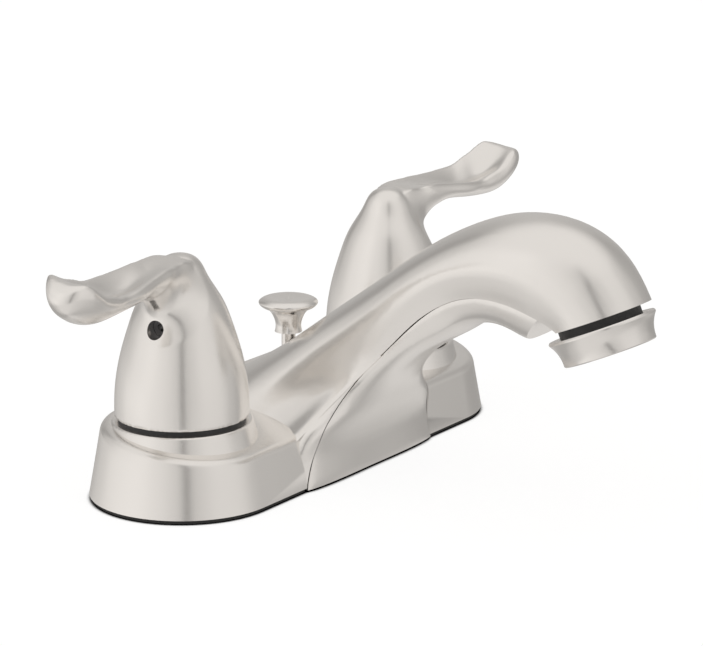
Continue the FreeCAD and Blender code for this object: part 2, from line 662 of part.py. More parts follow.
def lift_knob():
    """Mushroom knob: a waisted neck that flares to a thin rim under a slightly domed top."""
    rise = KNOB_TOP - KNOB_FOOT
    neck = KNOB_NECK_RADIUS
    rim = KNOB_RADIUS
    shape = [(neck * 1.03, 0.0), (neck * 0.96, 0.22), (neck * 1.12, 0.44), (rim * 0.70, 0.66), (rim * 0.96, 0.79),
             (rim, 0.865), (rim * 0.93, 0.93), (rim * 0.5, 0.985), (0, 1.0)]
    points = [V(r, 0, KNOB_FOOT + rise * h) for r, h in shape]
    foot = V(0, 0, KNOB_FOOT)
    knob = turned([spline(points), line(points[-1], foot), line(foot, points[0])])
    knob = knob.cut(cylinder(ROD_RADIUS, KNOB_FOOT - 1, KNOB_FOOT + 6))
    knob.translate(V(0, ROD_Y, 0))
    return knob


def lift_rod_guide():
    return ring_solid(ROD_GUIDE_RADIUS - 0.02, ROD_RADIUS + FIT_GAP, ROD_BOSS_FOOT, ROD_GUIDE_TOP, y=ROD_Y)


def outlet_nipple():
    """Dark nipple in the spout's end: the tube enters its top, the aerator screws on below."""
    roof = -NIPPLE_RISE + 1.6
    nipple = ring_solid(NIPPLE_RADIUS - 0.02, NIPPLE_RADIUS - NIPPLE_WALL, -NIPPLE_RISE, NIPPLE_END)
    lid = ring_solid(NIPPLE_RADIUS - NIPPLE_WALL + 0.5, TUBE_RADIUS + FIT_GAP, -NIPPLE_RISE, roof)
    return at_outlet(nipple.fuse(lid))


def aerator_washer():
    inner = NIPPLE_RADIUS - NIPPLE_WALL
    return at_outlet(ring_solid(NIPPLE_RADIUS - 0.1, inner, NIPPLE_END, NIPPLE_END + WASHER_THICKNESS))


def aerator_collar():
    """Round collar with a waisted side and a turned-in lip that holds the insert."""
    top = COLLAR_DROP
    low = COLLAR_DROP + COLLAR_HEIGHT
    bore = NIPPLE_RADIUS + FIT_GAP
    lip = bore - 1.7
    waist = (COLLAR_TOP_RADIUS + COLLAR_LOW_RADIUS) / 2 - 0.55
    outer = spline([V(COLLAR_TOP_RADIUS, 0, top + 0.8), V(waist, 0, top + COLLAR_HEIGHT / 2),
                    V(COLLAR_LOW_RADIUS, 0, low - 0.3)])
    corners = [V(COLLAR_LOW_RADIUS, 0, low - 0.3), V(COLLAR_LOW_RADIUS - 0.3, 0, low), V(lip, 0, low),
               V(lip, 0, low - COLLAR_LIP), V(bore, 0, low - COLLAR_LIP), V(bore, 0, top),
               V(COLLAR_TOP_RADIUS - 0.3, 0, top), V(COLLAR_TOP_RADIUS, 0, top + 0.4),
               V(COLLAR_TOP_RADIUS, 0, top + 0.8)]
    return at_outlet(turned([outer] + [line(a, b) for a, b in zip(corners, corners[1:])]))


def aerator_insert():
    """Flow straightener: a stepped disc with rings of holes."""
    top = NIPPLE_END + WASHER_THICKNESS
    step = COLLAR_DROP + COLLAR_HEIGHT - COLLAR_LIP
    low = step + COLLAR_LIP - 0.4
    wide = NIPPLE_RADIUS - 0.1
    narrow = NIPPLE_RADIUS + FIT_GAP - 1.7 - 0.1
    insert = cylinder(wide, top, step).fuse(cylinder(narrow, step, low))
    holes = [cylinder(0.9, top - 1, low + 1)]
    for count, radius in ((6, 2.9), (12, 5.6), (18, 8.2)):
        for number in range(count):
            turn = 2 * math.pi * number / count
            holes.append(cylinder(0.8, top - 1, low + 1, radius * math.cos(turn), radius * math.sin(turn)))
    return at_outlet(insert.cut(holes))


def bent_path(points, bend):
    """Straight runs between the points, joined by arcs of one radius, in one plane."""
    edges = []
    start = points[0]
    for before, corner, after in zip(points, points[1:], points[2:]):
        into = (corner - before).normalize()
        away = (after - corner).normalize()
        half_turn = into.getAngle(away) / 2
        setback = bend * math.tan(half_turn)
        first = corner - into * setback
        last = corner + away * setback
        inward = (away - into).normalize()
        middle = corner + inward * (bend / math.cos(half_turn) - bend)
        edges.append(line(start, first))
        edges.append(Part.Arc(first, middle, last).toShape())
        start = last
    edges.append(line(start, points[-1]))
    return Part.Wire(edges)


def spout_tube():
    """Copper tube from the waterway, up through the spout and down into the nipple."""
    end = outlet_point(0, -NIPPLE_RISE + 0.8)
    turn = outlet_point(0, -NIPPLE_RISE - 9)
    points = [V(0, CROSS_Y, tube_foot()), V(0, CROSS_Y, RISER_TOP + 11),
              place(0.445, 0.715), turn, end]
    path = bent_path(points, TUBE_BEND)
    circle = Part.makeCircle(TUBE_RADIUS, points[0], V(0, 0, 1))
    bore = Part.makeCircle(TUBE_RADIUS - TUBE_WALL, points[0], V(0, 0, 1))
    outer = path.makePipeShell([Part.Wire([circle])], True, False)
    inner = path.makePipeShell([Part.Wire([bore])], True, False)
    return outer.cut(inner)


def write(name, shape):
    if len(shape.Solids) == 1:
        shape = shape.Solids[0]
    print(name, "valid" if shape.isValid() else "NOT VALID", len(shape.Solids), round(shape.Volume, 1))
    shape.exportStep("parts/" + name + ".step")


os.makedirs("parts", exist_ok=True)
write("body_shell", body_shell())
write("spout_cover", spout_cover())
write("base_gasket", base_gasket())
write("waterway_body", waterway_body())
write("spout_tube", spout_tube())
write("outlet_nipple", outlet_nipple())
write("aerator_washer", aerator_washer())
write("aerator_collar", aerator_collar())
write("aerator_insert", aerator_insert())
write("lift_rod", lift_rod())
write("lift_knob", lift_knob())
write("lift_rod_guide", lift_rod_guide())
DISC_FLOOR = CHAMBER_FLOOR + SEAT_THICKNESS
for side, name in ((-1, "hot"), (1, "cold")):
    x = side * HANDLE_X
    write(name + "_seat_seal", seat_seal(x))
    write(name + "_fixed_disc", disc(x, DISC_FLOOR, False))
    write(name + "_moving_disc", on_side(disc(0, DISC_FLOOR + DISC_THICKNESS, True), side))
    write(name + "_cartridge", cartridge(x))
    write(name + "_stem", on_side(stem(), side))
    write(name + "_stem_seal", stem_seal(x))
    write(name + "_bonnet_nut", bonnet_nut(x))
    write(name + "_glide_ring", glide_ring(x))
    write(name + "_handle", on_side(handle(), side))
    write(name + "_set_screw", on_side(set_screw(), side))
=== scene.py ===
# %% [markdown]
# # A two-handle basin faucet in satin nickel
#
# This lesson dresses a basin faucet whose solids are already made. The spout shell, its cover,
# the two handles and the valve pieces inside come in as a fixed frame, one object for each
# physical piece. What is left for Blender is the look: the plating with its fine grain, the
# rubber under the base, the brass and ceramic inside, and a quiet studio to see them in.
#
# The box round the solids is measured at the start, and the floor is laid at its bottom. The box
# round the solids is kept at the start, because the dressed faucet may not grow past it.

# %% Load the frame
import json
import math

import bmesh
import bpy
from mathutils import Matrix, Vector


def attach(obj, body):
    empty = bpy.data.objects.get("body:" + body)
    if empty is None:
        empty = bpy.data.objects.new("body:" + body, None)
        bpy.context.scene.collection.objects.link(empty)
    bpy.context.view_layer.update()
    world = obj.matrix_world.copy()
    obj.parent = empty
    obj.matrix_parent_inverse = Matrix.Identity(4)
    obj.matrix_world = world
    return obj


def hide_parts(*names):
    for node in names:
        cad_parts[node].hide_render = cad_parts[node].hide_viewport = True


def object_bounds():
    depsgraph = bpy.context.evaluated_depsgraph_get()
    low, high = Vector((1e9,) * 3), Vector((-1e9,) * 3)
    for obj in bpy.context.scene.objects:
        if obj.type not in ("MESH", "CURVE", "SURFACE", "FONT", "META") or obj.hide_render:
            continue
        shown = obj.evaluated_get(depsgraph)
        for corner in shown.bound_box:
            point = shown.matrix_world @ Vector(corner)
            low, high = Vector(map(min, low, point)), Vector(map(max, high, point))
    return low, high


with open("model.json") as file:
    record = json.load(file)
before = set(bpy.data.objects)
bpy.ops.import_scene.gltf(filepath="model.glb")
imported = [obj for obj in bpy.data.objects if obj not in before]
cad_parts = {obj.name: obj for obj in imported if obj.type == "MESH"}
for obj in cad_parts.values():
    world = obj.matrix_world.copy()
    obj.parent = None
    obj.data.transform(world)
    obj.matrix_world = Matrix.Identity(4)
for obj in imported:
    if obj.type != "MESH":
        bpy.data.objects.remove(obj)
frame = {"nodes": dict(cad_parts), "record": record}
nodes = frame["nodes"]
cad_low, cad_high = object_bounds()
print("pieces:", len(nodes), "box in mm:", [round(1000 * v) for v in cad_high - cad_low])

# %% [markdown]
# ## Soft reflections need soft normals
#
# Plated metal is seen only through what it reflects, so it shows every flaw in a surface. The
# solids arrive as triangles with loose corners. They could be rebuilt by hand as subdivision
# surfaces, but the forms are already right, so three modifiers are enough. Weld joins the loose
# corners. Edge Split keeps the edges that are sharper than a given angle, as on a casting that
# was ground before it was plated. Weighted Normal settles how light turns over all the others.
# It goes by the faces' areas, so that large faces stay calm. The spout shell is a long sweep of
# thin faces, where areas would draw a jagged line, so there it goes by their corner angles.

# %% Smooth the pieces' shading
SHARP_ANGLE = math.radians(32)
LOOSE_CORNERS = 0.000002


def soften(piece):
    """Join the corners, keep the sharp edges and weight the normals."""
    weld = piece.modifiers.new("join corners", "WELD")
    weld.merge_threshold = LOOSE_CORNERS
    split = piece.modifiers.new("keep sharp edges", "EDGE_SPLIT")
    split.split_angle = SHARP_ANGLE
    split.use_edge_sharp = False
    weighted = piece.modifiers.new("weigh normals", "WEIGHTED_NORMAL")
    weighted.mode = "CORNER_ANGLE" if piece.name.startswith("body_shell") else "FACE_AREA"


for piece in nodes.values():
    soften(piece)
print("softened", len(nodes), "pieces")

# %% [markdown]
# ## Helpers for finishes
#
# A finish is a handful of shader nodes: a texture for how the surface varies, a range that keeps
# the variation small, and the shader. They could be wired by hand in the shader editor. Small
# functions are used instead, so that each finish further on reads as a short recipe and all of
# them stay alike. The noise is measured in the piece's own metres, so that a scratch has its real
# width on a large piece and on a small one.

# %% Start a material and give it a noise
EVEN = (1, 1, 1)
STRAIGHT = (0, 0, 0)


def start_material(name, metallic):
    """A new material with its node tree, its shader and its coordinates."""
    material = bpy.data.materials.new(name)
    material.use_nodes = True
    tree = material.node_tree
    shader = next(n for n in tree.nodes if n.type == "BSDF_PRINCIPLED")
    shader.inputs["Metallic"].default_value = metallic
    place = tree.nodes.new("ShaderNodeTexCoord")
    return material, tree, shader, place


def stretched_noise(tree, place, scale, stretch=EVEN, detail=3.0, turn=STRAIGHT):
    """Noise in the piece's own metres, drawn out along an axis where its stretch is small."""
    mapping = tree.nodes.new("ShaderNodeMapping")
    mapping.inputs["Scale"].default_value = stretch
    mapping.inputs["Rotation"].default_value = turn
    noise = tree.nodes.new("ShaderNodeTexNoise")
    noise.inputs["Scale"].default_value = scale
    noise.inputs["Detail"].default_value = detail
    tree.links.new(place.outputs["Object"], mapping.inputs["Vector"])
    tree.links.new(mapping.outputs["Vector"], noise.inputs["Vector"])
    return noise.outputs["Fac"]


print("noise axes when nothing is stretched:", EVEN)

# %% [markdown]
# ## Numbers between a noise and a look
#
# A noise gives numbers from nothing to one, mostly near the middle, while a finish needs a
# roughness from 0.23 to 0.26 or a share from full to none. Blender has many nodes for this, such
# as curves, ramps and clamps. Two are enough here: Map Range carries a number from one range to
# another, and Math adds, multiplies or compares. The floor and the sky further on use them too.

# %% Ranges and sums
def remap(tree, value, from_range, to_range=(0.0, 1.0), eased=False):
    """Turn a number in one range into a number in another, evenly or with soft ends."""
    node = tree.nodes.new("ShaderNodeMapRange")
    if eased:
        node.interpolation_type = "SMOOTHSTEP"
    names = ("From Min", "From Max", "To Min", "To Max")
    for name, number in zip(names, (*from_range, *to_range)):
        node.inputs[name].default_value = number
    tree.links.new(value, node.inputs["Value"])
    return node.outputs["Result"]


def combine(tree, operation, *values):
    """One sum on numbers or sockets."""
    node = tree.nodes.new("ShaderNodeMath")
    node.operation = operation
    for socket, value in zip(node.inputs, values):
        if isinstance(value, (int, float)):
            socket.default_value = value
        else:
            tree.links.new(value, socket)
    return node.outputs["Value"]


print("helpers for ranges and sums ready")

# %% [markdown]
# ## Tint, gloss and bump
#
# Three things vary on a real surface: its colour, how sharply it mirrors, and its relief. All
# three are driven by noise below. Most of a noise lies between 0.3 and 0.7, so the ranges start
# and end there. With the full range from 0 to 1 nearly all of the variation would be lost.

# %% Tint, gloss and bump from a noise
NOISE_RANGE = (0.3, 0.7)


def spread(tree, factor, low, high):
    """Turn noise round one half into a number between low and high."""
    return remap(tree, factor, NOISE_RANGE, (low, high))


def tint(tree, factor, first, second):
    """Turn noise into a colour between two near ones."""
    ramp = tree.nodes.new("ShaderNodeValToRGB")
    for stop, place, colour in zip(ramp.color_ramp.elements, NOISE_RANGE, (first, second)):
        stop.position = place
        stop.color = (*colour, 1)
    tree.links.new(factor, ramp.inputs["Fac"])
    return ramp.outputs["Color"]


def bump(tree, shader, factor, height, strength):
    """Let noise lift the surface by a height in metres."""
    node = tree.nodes.new("ShaderNodeBump")
    node.inputs["Strength"].default_value = strength
    node.inputs["Distance"].default_value = height
    tree.links.new(factor, node.inputs["Height"])
    tree.links.new(node.outputs["Normal"], shader.inputs["Normal"])


def near(colour, share):
    """The same colour, a little lighter or darker."""
    return tuple(min(1.0, part * (1 + share)) for part in colour)


print("noise counts from", NOISE_RANGE[0], "to", NOISE_RANGE[1])

# %% [markdown]
# ## Satin nickel
#
# The faucet is cast, ground, brushed with a soft wheel and plated with nickel. The plating is a
# warm grey. The brushing leaves scratches too fine to see one by one, which blur what the metal
# reflects. That blur could be one roughness number, but real satin varies: it is a little
# glossier where the wheel pressed. So a long thin noise drives the roughness and a very low bump,
# and a broad noise shifts the tint by about one percent.

# %% The recipe for satin nickel
NICKEL = (0.90, 0.879, 0.854)
NICKEL_SHIFT = 0.012
SCRATCH_SCALE = 2600
SCRATCH_DETAIL = 2.0
SCRATCH_DEPTH = 0.000001
SCRATCH_STRENGTH = 0.06
CLOUD_SCALE = 45


def satin_nickel(name, grain, roughness=(0.23, 0.26), turn=STRAIGHT):
    """Plated metal with a fine grain, drawn out along the axis where grain is small."""
    material, tree, shader, place = start_material(name, metallic=1.0)
    fine = stretched_noise(tree, place, SCRATCH_SCALE, grain, SCRATCH_DETAIL, turn)
    broad = stretched_noise(tree, place, CLOUD_SCALE)
    colour = tint(tree, broad, near(NICKEL, -NICKEL_SHIFT), near(NICKEL, NICKEL_SHIFT))
    tree.links.new(colour, shader.inputs["Base Color"])
    tree.links.new(spread(tree, fine, *roughness), shader.inputs["Roughness"])
    bump(tree, shader, fine, SCRATCH_DEPTH, SCRATCH_STRENGTH)
    return material


print("nickel:", NICKEL)

# %% [markdown]
# ## The spout shell, its cover and the levers
#
# The wheel follows each piece's length, and so does the grain. The shell is brushed from the back
# of the base to the outlet. Its cover is a piece of its own, brushed up and down before it is let
# in, which is why the seam shows as a change of grain. The handles are brushed along the lever.
# One material could serve all three, but then the grain would run straight across some of them.

# %% Nickel for the large castings
shell_nickel = satin_nickel("shell_nickel", grain=(1, 0.06, 1))
cover_nickel = satin_nickel("cover_nickel", grain=(1, 1, 0.06))
handle_nickel = satin_nickel("handle_nickel", grain=(0.06, 1, 1))
print("brushed castings: 3 finishes")

# %% [markdown]
# ## The knob, the lift rod and the collar
#
# These are turned on a lathe, not cast, and come off it smoother than a brushed casting. The knob
# and the rod get a lower roughness for that, with a grain along their length. The collar is
# brushed round again to match the spout. It hangs at the outlet's tilt, and a grain that runs
# round has to lie in the collar's own plane. The noise could be laid on with an unwrapped map,
# but turning its axes by the tilt does it.

# %% Nickel for the turned pieces
TURNED_ROUGHNESS = (0.19, 0.22)
OUTLET_TILT = math.radians(-23)

knob_nickel = satin_nickel("knob_nickel", grain=(1, 1, 0.3), roughness=TURNED_ROUGHNESS)
rod_nickel = satin_nickel("rod_nickel", grain=(1, 1, 0.05), roughness=TURNED_ROUGHNESS)
collar_nickel = satin_nickel("collar_nickel", grain=(0.2, 0.2, 1), turn=(OUTLET_TILT, 0, 0))
print("turned pieces: 3 finishes")

# %% [markdown]
# ## Brass, copper and dark steel
#
# Under the plating the faucet is brass. Machined brass is smooth, with faint rings left by the
# cutting tool. A cast waterway is duller and a little pitted. The two could differ in colour
# alone, but the eye tells them apart by gloss and relief, so the recipe takes these as values.
# The same recipe gives the drawn copper tube and the small dark set screws.

# %% The recipe for bare metal
TARNISH_SCALE = 160
TARNISH_DARK = -0.14
TARNISH_LIGHT = 0.08
MARK_STRENGTH = 0.5


def bare_metal(name, colour, roughness, grain, scale=1800, depth=0.000006):
    """Unplated metal: tool marks or casting skin as a bump, and a slightly uneven tarnish."""
    material, tree, shader, place = start_material(name, metallic=1.0)
    marks = stretched_noise(tree, place, scale, grain)
    tarnish = stretched_noise(tree, place, TARNISH_SCALE, detail=4.0)
    shade = tint(tree, tarnish, near(colour, TARNISH_DARK), near(colour, TARNISH_LIGHT))
    tree.links.new(shade, shader.inputs["Base Color"])
    tree.links.new(spread(tree, marks, *roughness), shader.inputs["Roughness"])
    bump(tree, shader, marks, depth, MARK_STRENGTH)
    return material


print("tarnish patches of about", round(1000 / TARNISH_SCALE), "mm")

# %% [markdown]
# ## What the hidden metal pieces are
#
# The waterway is cast: the two inlets, the valve cups and the pipe between them are one brass
# body with a skin like fine sand. Cartridges, stems and nuts are turned, so their marks run
# round them. The tube is drawn through a die, which leaves its marks lengthwise: it rises and
# leans forward, so its noise is drawn out along both of those axes. The set screws are taken to
# be steel with a dark finish. Little of this shows from outside, but the model can be opened,
# and then each piece should be told from its neighbours at a glance.

# %% Brass, copper and steel
BRASS = (0.66, 0.48, 0.22)
COPPER = (0.68, 0.36, 0.24)
DARK_STEEL = (0.12, 0.12, 0.125)
ALONG_TUBE = (1, 0.05, 0.05)
ROUND_Z = (0.05, 0.05, 1)

waterway_brass = bare_metal("waterway_brass", BRASS, roughness=(0.42, 0.58), grain=EVEN,
                            scale=900, depth=0.00003)
turned_brass = bare_metal("turned_brass", BRASS, roughness=(0.22, 0.34), grain=ROUND_Z)
tube_copper = bare_metal("tube_copper", COPPER, roughness=(0.25, 0.38), grain=ALONG_TUBE)
screw_steel = bare_metal("screw_steel", DARK_STEEL, roughness=(0.32, 0.45), grain=EVEN,
                         scale=2200)
print("bare metals: 4 finishes")

# %% [markdown]
# ## Rubber, ceramic and plastic
#
# The gasket and the seals are black rubber: matt, with a skin that is never quite even. The valve
# discs are ground ceramic, white with a trace of grey. The rod's guide, the glide rings, the
# outlet's nipple and the aerator's insert are moulded plastic with a faint sparked texture. The
# glide rings and the nipple are near black, partly as their own dark plastic and partly as
# painted shade for the narrow gaps they sit in.
# Three recipes could be written, but none of these is metal and all vary in the same ways, so
# one recipe serves all, with its own colour, gloss and grain size for each.

# %% The recipe for moulded pieces
SKINS_PER_CLOUD = 12
SKIN_STRENGTH = 0.6


def moulded(name, colour, roughness, scale, depth, contrast):
    """A dull material whose colour, gloss and skin all vary a little."""
    material, tree, shader, place = start_material(name, metallic=0.0)
    skin = stretched_noise(tree, place, scale, detail=4.0)
    cloud = stretched_noise(tree, place, scale / SKINS_PER_CLOUD, detail=2.0)
    shade = tint(tree, cloud, near(colour, -contrast), near(colour, contrast))
    tree.links.new(shade, shader.inputs["Base Color"])
    tree.links.new(spread(tree, skin, *roughness), shader.inputs["Roughness"])
    bump(tree, shader, skin, depth, SKIN_STRENGTH)
    return material


print("a cloud is", SKINS_PER_CLOUD, "times as wide as a grain of skin")

# %% [markdown]
# ## From matt to glossy
#
# Rubber is the roughest of the four and varies most, since it picks up dust. The ceramic is
# lapped until two discs hold water between them, so it is the smoothest. Both plastics lie
# between. Black isn't written as 0: nothing real is that dark, and a shape drawn in full black
# loses its edges. The same holds for white, which stays a good deal below 1.

# %% Rubber, ceramic and plastic
BLACK_RUBBER = (0.018, 0.018, 0.018)
CERAMIC_WHITE = (0.80, 0.79, 0.76)
PALE_GREY = (0.62, 0.62, 0.60)
NEAR_BLACK = (0.025, 0.025, 0.026)

black_rubber = moulded("black_rubber", BLACK_RUBBER, roughness=(0.55, 0.75), scale=1500,
                       depth=0.00002, contrast=0.25)
white_ceramic = moulded("white_ceramic", CERAMIC_WHITE, roughness=(0.18, 0.28), scale=2600,
                        depth=0.000003, contrast=0.03)
pale_plastic = moulded("pale_plastic", PALE_GREY, roughness=(0.38, 0.50), scale=3000,
                       depth=0.000006, contrast=0.04)
# Near black: partly the plastic's own colour, partly painted shade in the gaps round the glide
# rings and the outlet's nipple.
shade_dark_plastic = moulded("shade_dark_plastic", NEAR_BLACK, roughness=(0.40, 0.55), scale=3000,
                       depth=0.000006, contrast=0.15)
print("moulded pieces: 4 finishes")

# %% [markdown]
# ## Every piece gets its finish
#
# The record names a material slot for each piece. Finishes could be dragged on by hand, one
# piece at a time, and a hidden seal would soon be missed. Instead a table pairs the record's
# slots with the finishes above, and a loop over the record fills the slots, so nothing is left
# bare.

# %% Pair the slots with the finishes
FINISHES = {
    "shell_nickel": shell_nickel,
    "cover_nickel": cover_nickel,
    "collar_nickel": collar_nickel,
    "rod_nickel": rod_nickel,
    "knob_nickel": knob_nickel,
    "handle_nickel": handle_nickel,
    "gasket_rubber": black_rubber,
    "washer_rubber": black_rubber,
    "seal_rubber": black_rubber,
    "waterway_brass": waterway_brass,
    "nipple_plastic": shade_dark_plastic,
    "cartridge_brass": turned_brass,
    "stem_brass": turned_brass,
    "nut_brass": turned_brass,
    "tube_copper": tube_copper,
    "disc_ceramic": white_ceramic,
    "insert_plastic": pale_plastic,
    "guide_plastic": pale_plastic,
    "glide_plastic": shade_dark_plastic,
    "screw_steel": screw_steel,
}
print("slots in the table:", len(FINISHES))

# %% Give the pieces their finishes
for row in frame["record"]["subparts"]:
    piece = nodes[row["node"]]
    finish = FINISHES[row["material_slot"]]
    if not piece.material_slots:
        piece.data.materials.append(finish)
    for slot in piece.material_slots:
        slot.material = finish

# %% [markdown]
# ## The handles are poured in one
#
# On the real handle the lever grows out of the hub without an edge, because both are one casting
# and the polisher's wheel runs over the join. The solid has a sharp hollow line there. A
# subdivision cage could be drawn for the handle, but it would have to match the solid everywhere
# else. So a copy of the solid takes its place: it gets a lump of metal under the lever's root, is
# remeshed into small even faces, and is softened only round the join and at the lever's tip. The
# set screw's hole would be softened with it, so it is plugged first and bored again at the end.
#
# The lever doesn't stand square to the base: it is turned a little towards the front. Places on a
# handle are therefore given by how far out they lie along the lever, and how high.

# %% Places along a lever
HANDLE_X = 0.0508
LEVER_TURN = math.radians(6.3)


def on_handle(side, out, height):
    """A place given by how far out it is along the lever, and its height."""
    sideways = side * (HANDLE_X + out * math.cos(LEVER_TURN))
    return Vector((sideways, -out * math.sin(LEVER_TURN), height))


print("a finger's width out on the right:", [round(v, 4) for v in on_handle(1, 0.02, 0.0)])

# %% [markdown]
# ## A bar and a lump
#
# Two simple bodies do all the fitting: a round bar, which plugs the screw hole and later stands
# for the drill, and an egg-shaped lump, which thickens the lever's root. They could be added as
# objects and joined, but bmesh adds them straight to a mesh. Each is made round the origin and
# laid in place by one matrix: turned along the lever first, then moved.

# %% A bar and a lump to work with
ROUND_SIDES = 64
LUMP_SIDES = 48
LUMP_RINGS = 24


def bar(work, side, start, end, height, radius):
    """Add a round bar that lies along the lever."""
    along = on_handle(side, end, height) - on_handle(side, start, height)
    turn = along.to_track_quat("Z", "Y").to_matrix().to_4x4()
    middle = Matrix.Translation(on_handle(side, (start + end) / 2, height))
    bmesh.ops.create_cone(work, cap_ends=True, segments=ROUND_SIDES, radius1=radius,
                          radius2=radius, depth=along.length, matrix=middle @ turn)


def lump(work, side, out, height, sizes):
    """Add an egg-shaped lump with its three half sizes along, across and up."""
    turn = Matrix.Rotation(-side * LEVER_TURN, 4, "Z")
    middle = Matrix.Translation(on_handle(side, out, height))
    bmesh.ops.create_uvsphere(work, u_segments=LUMP_SIDES, v_segments=LUMP_RINGS, radius=1.0,
                              matrix=middle @ turn @ Matrix.Diagonal((*sizes, 1)))


print("a round bar has", ROUND_SIDES, "sides")

# %% [markdown]
# ## Softening one place only
#
# A sculptor would go over the join with a smoothing brush. A Smooth modifier with a painted
# weight could do the same, but the two handles have to match, and paint is hard to repeat. So
# the weight is worked out from each point's distance: full at the join's centre, nothing at its
# reach, and nothing near the stem's socket inside the hub, which must keep its flats. The Blur
# Attribute node then moves each point towards the middle of its neighbours, again and again.

# %% How near a point is to a place
def share_near(group, place, point, from_range):
    """From 0 to 1 over a range of distances from a point."""
    apart = group.nodes.new("ShaderNodeVectorMath")
    apart.operation = "DISTANCE"
    apart.inputs[1].default_value = point
    group.links.new(place, apart.inputs[0])
    return remap(group, apart.outputs["Value"], from_range, eased=True)


print("a point's share is worked out from its distance")

# %% A node group that softens a place
STEM_MIDDLE = 0.047
STEM_CLEAR = (0.0088, 0.0108)


def vector_socket(sockets):
    """The one that is in use of a node's sockets for vectors."""
    return next(s for s in sockets if s.type == "VECTOR" and s.enabled)


def soften_group(name, side, centre, reach, core, steps):
    """A node group that draws points towards their neighbours near a centre on a handle."""
    group = bpy.data.node_groups.new(name, "GeometryNodeTree")
    for direction in ("INPUT", "OUTPUT"):
        group.interface.new_socket("Geometry", in_out=direction,
                                   socket_type="NodeSocketGeometry")
    start = group.nodes.new("NodeGroupInput")
    end = group.nodes.new("NodeGroupOutput")
    place = group.nodes.new("GeometryNodeInputPosition").outputs["Position"]
    weight = share_near(group, place, on_handle(side, *centre), (reach, core))
    off_stem = share_near(group, place, on_handle(side, 0, STEM_MIDDLE), STEM_CLEAR)
    blur = group.nodes.new("GeometryNodeBlurAttribute")
    blur.data_type = "FLOAT_VECTOR"
    blur.inputs["Iterations"].default_value = steps
    group.links.new(place, vector_socket(blur.inputs))
    group.links.new(combine(group, "MULTIPLY", weight, off_stem), blur.inputs["Weight"])
    move = group.nodes.new("GeometryNodeSetPosition")
    smooth = group.nodes.new("GeometryNodeSetShadeSmooth")
    group.links.new(start.outputs["Geometry"], move.inputs["Geometry"])
    group.links.new(vector_socket(blur.outputs), move.inputs["Position"])
    group.links.new(move.outputs["Geometry"], smooth.inputs["Geometry"])
    group.links.new(smooth.outputs["Geometry"], end.inputs["Geometry"])
    return group


print("the softening keeps", 1000 * STEM_CLEAR[0], "mm away from the stem")

# %% [markdown]
# ## From solid to casting
#
# A handle is poured, then ground and polished, and its screw hole is bored last. The steps below
# go the same way. Plug and lump only have to overlap the handle, because a voxel remesh makes one
# skin of everything that touches. A Boolean union could join them too, but it would keep the
# solid's long triangles, and a blur can't run evenly over those. The faces are under half a
# millimetre wide, small enough to hold the lever's wave and thin rim.

# %% Plug the screw hole and fill under the lever's root
SCREW_HEIGHT = 0.0494
SCREW_HOLE_RADIUS = 0.00255
HOLE_START = 0.0085
PLUG_END = 0.0132
PLUG_FIT = 1.08
ROOT_LUMP = (0.0130, 0.0570)
ROOT_LUMP_SIZES = (0.0050, 0.0042, 0.0026)


def fill_handle(side, mesh):
    """Join a handle's corners, plug its screw hole and fill under its lever's root."""
    work = bmesh.new()
    work.from_mesh(mesh)
    bmesh.ops.remove_doubles(work, verts=work.verts, dist=LOOSE_CORNERS)
    bar(work, side, HOLE_START, PLUG_END, SCREW_HEIGHT, PLUG_FIT * SCREW_HOLE_RADIUS)
    lump(work, side, *ROOT_LUMP, ROOT_LUMP_SIZES)
    work.to_mesh(mesh)
    work.free()


print("screw hole:", round(2000 * SCREW_HOLE_RADIUS, 1), "mm wide")

# %% [markdown]
# ## What the polisher rounds
#
# The wheel takes most where it meets a corner. At the join it rounds the hollow line between
# hub and lever, with many small steps, until it flows. At the tip it only eases the rim a
# little, because the real lever keeps a thin edge there. The steps are modifiers, so that the
# numbers can be tried one by one before anything is fixed.

# %% Even faces, a soft join and a soft tip
FACE_SIZE = 0.00044
SOFT_PLACES = (
    {"name": "join", "centre": (0.009, 0.056), "reach": 0.0125, "core": 0.006, "steps": 260},
    {"name": "tip", "centre": (0.060, 0.0680), "reach": 0.010, "core": 0.003, "steps": 40},
)


def polish_handle(side, cast):
    """Remesh a handle and soften it where the polisher's wheel rounds it."""
    even = cast.modifiers.new("even faces", "REMESH")
    even.mode = "VOXEL"
    even.voxel_size = FACE_SIZE
    even.use_smooth_shade = True
    for soft in SOFT_PLACES:
        step = cast.modifiers.new("soft " + soft["name"], "NODES")
        step.node_group = soften_group(cast.name + "_" + soft["name"], side, soft["centre"],
                                       soft["reach"], soft["core"], soft["steps"])


print("soft places:", [soft["name"] for soft in SOFT_PLACES])

# %% [markdown]
# ## The drill comes last
#
# The set screw's hole, just below the lever, is the one crisp edge on the hub. A Boolean takes
# the drill's bar out of the softened metal, so the edge is a clean circle. The result is read
# back as a plain mesh, with every modifier worked in. It could stay as a stack of modifiers,
# but then the drill's object would have to stay in the scene too, and be one more piece.

# %% Bore the screw hole
DRILL_END = 0.030


def in_scene(name, data):
    """A new object in the scene."""
    made = bpy.data.objects.new(name, data)
    bpy.context.collection.objects.link(made)
    return made


def bore_handle(side, cast):
    """Bore the screw hole, and make a plain mesh of the handle with all its steps."""
    work = bmesh.new()
    bar(work, side, HOLE_START, DRILL_END, SCREW_HEIGHT, SCREW_HOLE_RADIUS)
    drill_mesh = bpy.data.meshes.new("drill")
    work.to_mesh(drill_mesh)
    work.free()
    drill = in_scene("drill", drill_mesh)
    bore = cast.modifiers.new("screw hole", "BOOLEAN")
    bore.operation = "DIFFERENCE"
    bore.object = drill
    shown = cast.evaluated_get(bpy.context.evaluated_depsgraph_get())
    finished = bpy.data.meshes.new_from_object(shown)
    cast.modifiers.clear()
    cast.data = finished
    bpy.data.objects.remove(drill)


print("the drill comes from", 1000 * DRILL_END, "mm out")

# %% Keep the bored edge crisp
BORED_EDGE = math.radians(48)


